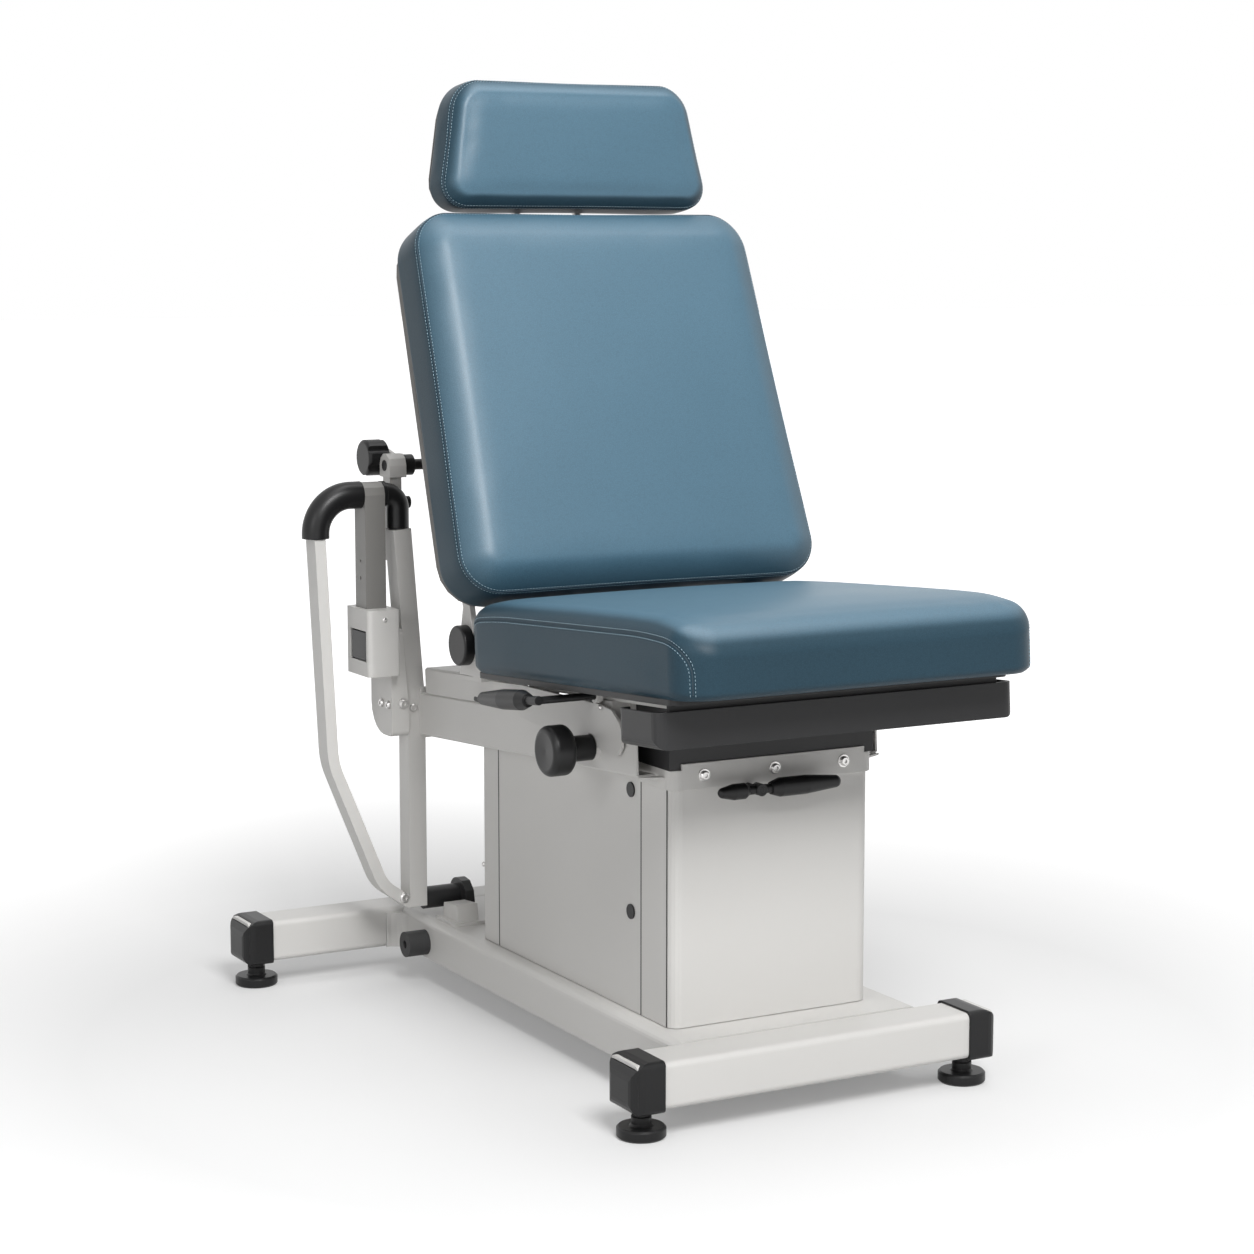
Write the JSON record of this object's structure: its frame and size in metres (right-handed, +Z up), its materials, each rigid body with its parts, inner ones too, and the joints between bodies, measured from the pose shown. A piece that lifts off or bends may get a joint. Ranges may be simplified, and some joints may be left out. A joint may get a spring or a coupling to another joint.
{
  "type": "podiatry chair",
  "caption": "Podiatry treatment chair: padded seat, reclining back and headrest on a lifting pedestal, H-shaped base, pull-out debris tray and a side hand loop.",
  "frame": {"origin": "bottom centre of the bounding box, on the floor under the chair", "axes": "+Z up, -Y to the front edge of the seat, +Y to the back, +X to the sitter's left"},
  "size_m": [0.859, 1.0959, 1.3331],
  "materials": {
    "powder_grey": "fine satin powder coat, warm light grey",
    "dark_paint": "satin charcoal paint",
    "black_plastic": "moulded, fine grain",
    "black_rubber": "soft matt rubber",
    "zinc": "zinc plated",
    "blue_vinyl": "teal-blue upholstery vinyl, fine leather grain, stitched",
    "shell_brown_grey": "moulded back shell, brown-grey"
  },
  "bodies": {
    "base": {"base_plinth": "powder_grey", "front_beam": "powder_grey", "rear_beam": "powder_grey", "front_end_caps": "black_plastic", "rear_end_caps": "black_plastic", "foot_nuts": "zinc", "side_buffer": "black_rubber", "dock_bracket": "dark_paint", "front_cover": "powder_grey", "rear_cover": "powder_grey", "left_cover": "powder_grey", "right_cover": "powder_grey", "cover_plugs": "black_plastic", "outer_column": "powder_grey", "column_glides": "black_plastic", "lift_actuator": "dark_paint"},
    "carriage": {"actuator_rod": "zinc", "inner_column": "powder_grey", "column_head": "dark_paint", "collar": "powder_grey", "collar_screws": "zinc", "handle_pin": "black_plastic", "left_rail": "powder_grey", "right_rail": "powder_grey", "rear_deck": "powder_grey", "seat_risers": "powder_grey", "seat_supports": "powder_grey", "side_plates": "powder_grey", "hinge_brackets": "powder_grey", "seat_board": "dark_paint", "seat_cushion": "blue_vinyl", "hinge_caps": "black_plastic", "post_socket": "powder_grey", "loop_post": "powder_grey", "inner_strut": "powder_grey", "bow_strut": "powder_grey", "loop_grips": "black_plastic", "loop_fasteners": "zinc", "tube_and_claw": "dark_paint", "stem_clamp": "powder_grey"},
    "backrest": {"back_arms": "powder_grey", "back_shell": "shell_brown_grey", "back_cushion": "blue_vinyl", "post_guides": "black_plastic"},
    "head_slide": {"head_posts": "zinc", "head_bracket": "black_plastic"},
    "headrest": {"head_shell": "black_plastic", "head_cushion": "blue_vinyl"},
    "tray": {"debris_tray": "dark_paint"},
    "recline_lever_body": {"recline_lever": "black_plastic"},
    "release_handle_body": {"release_handle": "black_plastic"},
    "side_knob_body": {"side_knob": "black_plastic"},
    "star_knob_body": {"star_knob": "black_plastic"},
    "stem_thumbscrew_body": {"stem_thumbscrew": "black_plastic"},
    "stop_rod_body": {"stop_rod": "black_plastic"},
    "post_latch_body": {"post_latch": "dark_paint"},
    "foot_front_left_body": {"foot_front_left": "black_plastic"},
    "foot_front_right_body": {"foot_front_right": "black_plastic"},
    "foot_rear_left_body": {"foot_rear_left": "black_plastic"},
    "foot_rear_right_body": {"foot_rear_right": "black_plastic"}
  },
  "joints": [
    {"name": "seat_lift", "type": "slide", "parent": "base", "child": "carriage", "axis": [0, 0, 1], "range_m": [0, 0.2]},
    {"name": "backrest_recline", "type": "hinge", "parent": "carriage", "child": "backrest", "pos_m": [0, 0.105, 0.555], "axis": [1, 0, 0], "range_deg": [-30, 0]},
    {"name": "headrest_height", "type": "slide", "parent": "backrest", "child": "head_slide", "axis": [0, 0.3681, 0.9298], "range_m": [0, 0.1]},
    {"name": "headrest_tilt", "type": "hinge", "parent": "head_slide", "child": "headrest", "pos_m": [0, 0.30027, 1.2112], "axis": [1, 0, 0], "range_deg": [-20, 0]},
    {"name": "tray_slide", "type": "slide", "parent": "carriage", "child": "tray", "axis": [0, -0.9976, 0.0698], "range_m": [0, 0.2]},
    {"name": "recline_lever_lift", "type": "hinge", "parent": "carriage", "child": "recline_lever_body", "pos_m": [-0.23, -0.193, 0.523], "axis": [1, 0, 0], "range_deg": [0, 25], "stiffness_Nm_per_rad": 4, "springref_deg": -8.59},
    {"name": "release_handle_turn", "type": "hinge", "parent": "carriage", "child": "release_handle_body", "pos_m": [-0.041, -0.3505, 0.412], "axis": [0, 1, 0], "range_deg": [-10, 10], "stiffness_Nm_per_rad": 6},
    {"name": "side_knob_turn", "type": "hinge", "parent": "carriage", "child": "side_knob_body", "pos_m": [-0.23, -0.175, 0.452], "axis": [-1, 0, 0], "continuous": true},
    {"name": "star_knob_turn", "type": "hinge", "parent": "carriage", "child": "star_knob_body", "pos_m": [-0.215, 0.47, 0.79], "axis": [-1, 0, 0], "continuous": true},
    {"name": "stem_thumbscrew_turn", "type": "hinge", "parent": "carriage", "child": "stem_thumbscrew_body", "pos_m": [-0.185, 0.4265, 0.7256], "axis": [1, 0, 0], "continuous": true},
    {"name": "stop_rod_slide", "type": "slide", "parent": "carriage", "child": "stop_rod_body", "axis": [1, 0, 0], "range_m": [0, 0.04]},
    {"name": "post_latch_press", "type": "hinge", "parent": "carriage", "child": "post_latch_body", "pos_m": [-0.273, 0.414, 0.5225], "axis": [0, 0, 1], "range_deg": [-15, 0], "stiffness_Nm_per_rad": 0.5, "springref_deg": 11.46},
    {"name": "foot_front_left_turn", "type": "hinge", "parent": "base", "child": "foot_front_left_body", "pos_m": [0.244, -0.405, 0.05], "axis": [0, 0, 1], "continuous": true},
    {"name": "foot_front_right_turn", "type": "hinge", "parent": "base", "child": "foot_front_right_body", "pos_m": [-0.244, -0.405, 0.05], "axis": [0, 0, 1], "continuous": true},
    {"name": "foot_rear_left_turn", "type": "hinge", "parent": "base", "child": "foot_rear_left_body", "pos_m": [0.398, 0.51, 0.05], "axis": [0, 0, 1], "continuous": true},
    {"name": "foot_rear_right_turn", "type": "hinge", "parent": "base", "child": "foot_rear_right_body", "pos_m": [-0.398, 0.51, 0.05], "axis": [0, 0, 1], "continuous": true}
  ]
}
